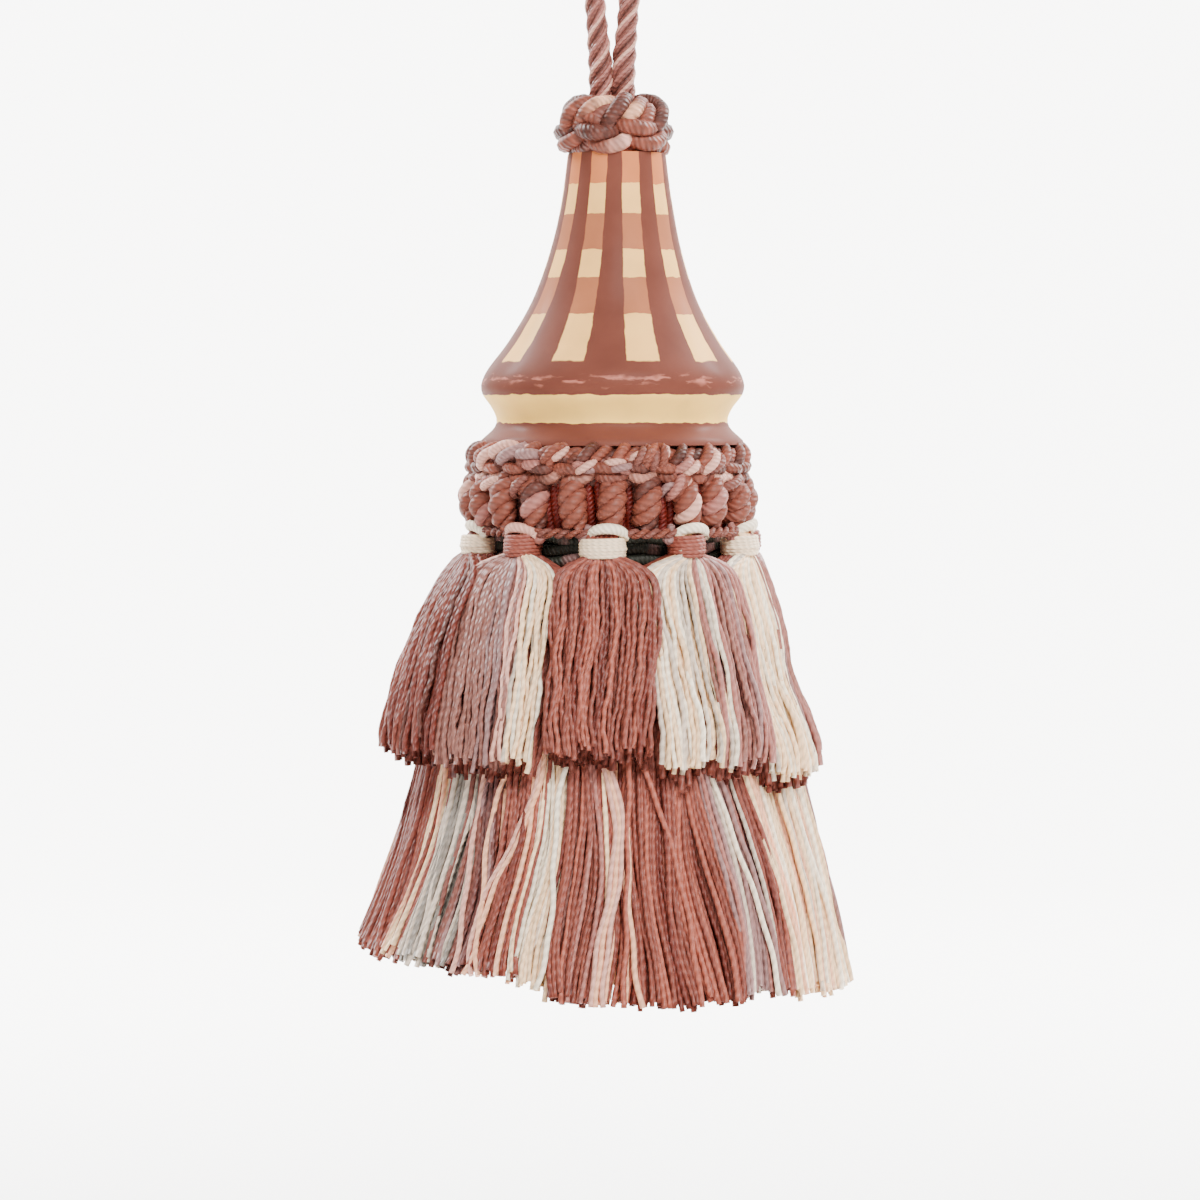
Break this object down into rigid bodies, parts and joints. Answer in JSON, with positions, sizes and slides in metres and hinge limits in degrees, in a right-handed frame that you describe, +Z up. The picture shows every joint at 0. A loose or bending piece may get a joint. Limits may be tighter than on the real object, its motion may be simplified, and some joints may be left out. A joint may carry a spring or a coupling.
{
  "type": "key tassel",
  "caption": "Key tassel on a twisted cord loop: painted bell-shaped wooden mould, plaited gimp heading, a tier of small tied tassels and a cut-yarn skirt in colour bands.",
  "frame": {"origin": "inner top of the hanging loop, where a hook or the bow of a key bears", "axes": "+Z up along the cord and the tassel's middle, -Y towards the viewer of the picture, +X to the viewer's right"},
  "size_m": [0.0738, 0.074, 0.1872],
  "materials": {
    "cord": "satin rayon, rose plies with a pale strand",
    "gimp": "satin rayon gimp, rust with pale pink",
    "painted_wood": "satin paint under varnish, rust with cream and salmon stripes",
    "yarn_rust": "lustrous cut rayon yarn",
    "yarn_cream": "lustrous cut rayon yarn",
    "yarn_mixed": "lustrous cut rayon yarn in cream, mauve, peach and rust"
  },
  "bodies": {
    "root": {"hanging_cord": "cord", "collar": "gimp", "mould": "painted_wood", "gimp_plait": "gimp", "gimp_loops": "gimp", "small_tassel_01": "yarn_rust", "binding_01": "yarn_cream", "small_tassel_02": "yarn_mixed", "binding_02": "yarn_rust", "small_tassel_03": "yarn_mixed", "binding_03": "yarn_cream", "small_tassel_04": "yarn_mixed", "binding_04": "yarn_rust", "small_tassel_05": "yarn_rust", "binding_05": "yarn_cream", "small_tassel_06": "yarn_mixed", "binding_06": "yarn_rust", "small_tassel_07": "yarn_mixed", "binding_07": "yarn_cream", "small_tassel_08": "yarn_mixed", "binding_08": "yarn_rust", "small_tassel_09": "yarn_rust", "binding_09": "yarn_cream", "small_tassel_10": "yarn_mixed", "binding_10": "yarn_rust", "lower_skirt": "yarn_rust"}
  },
  "joints": []
}
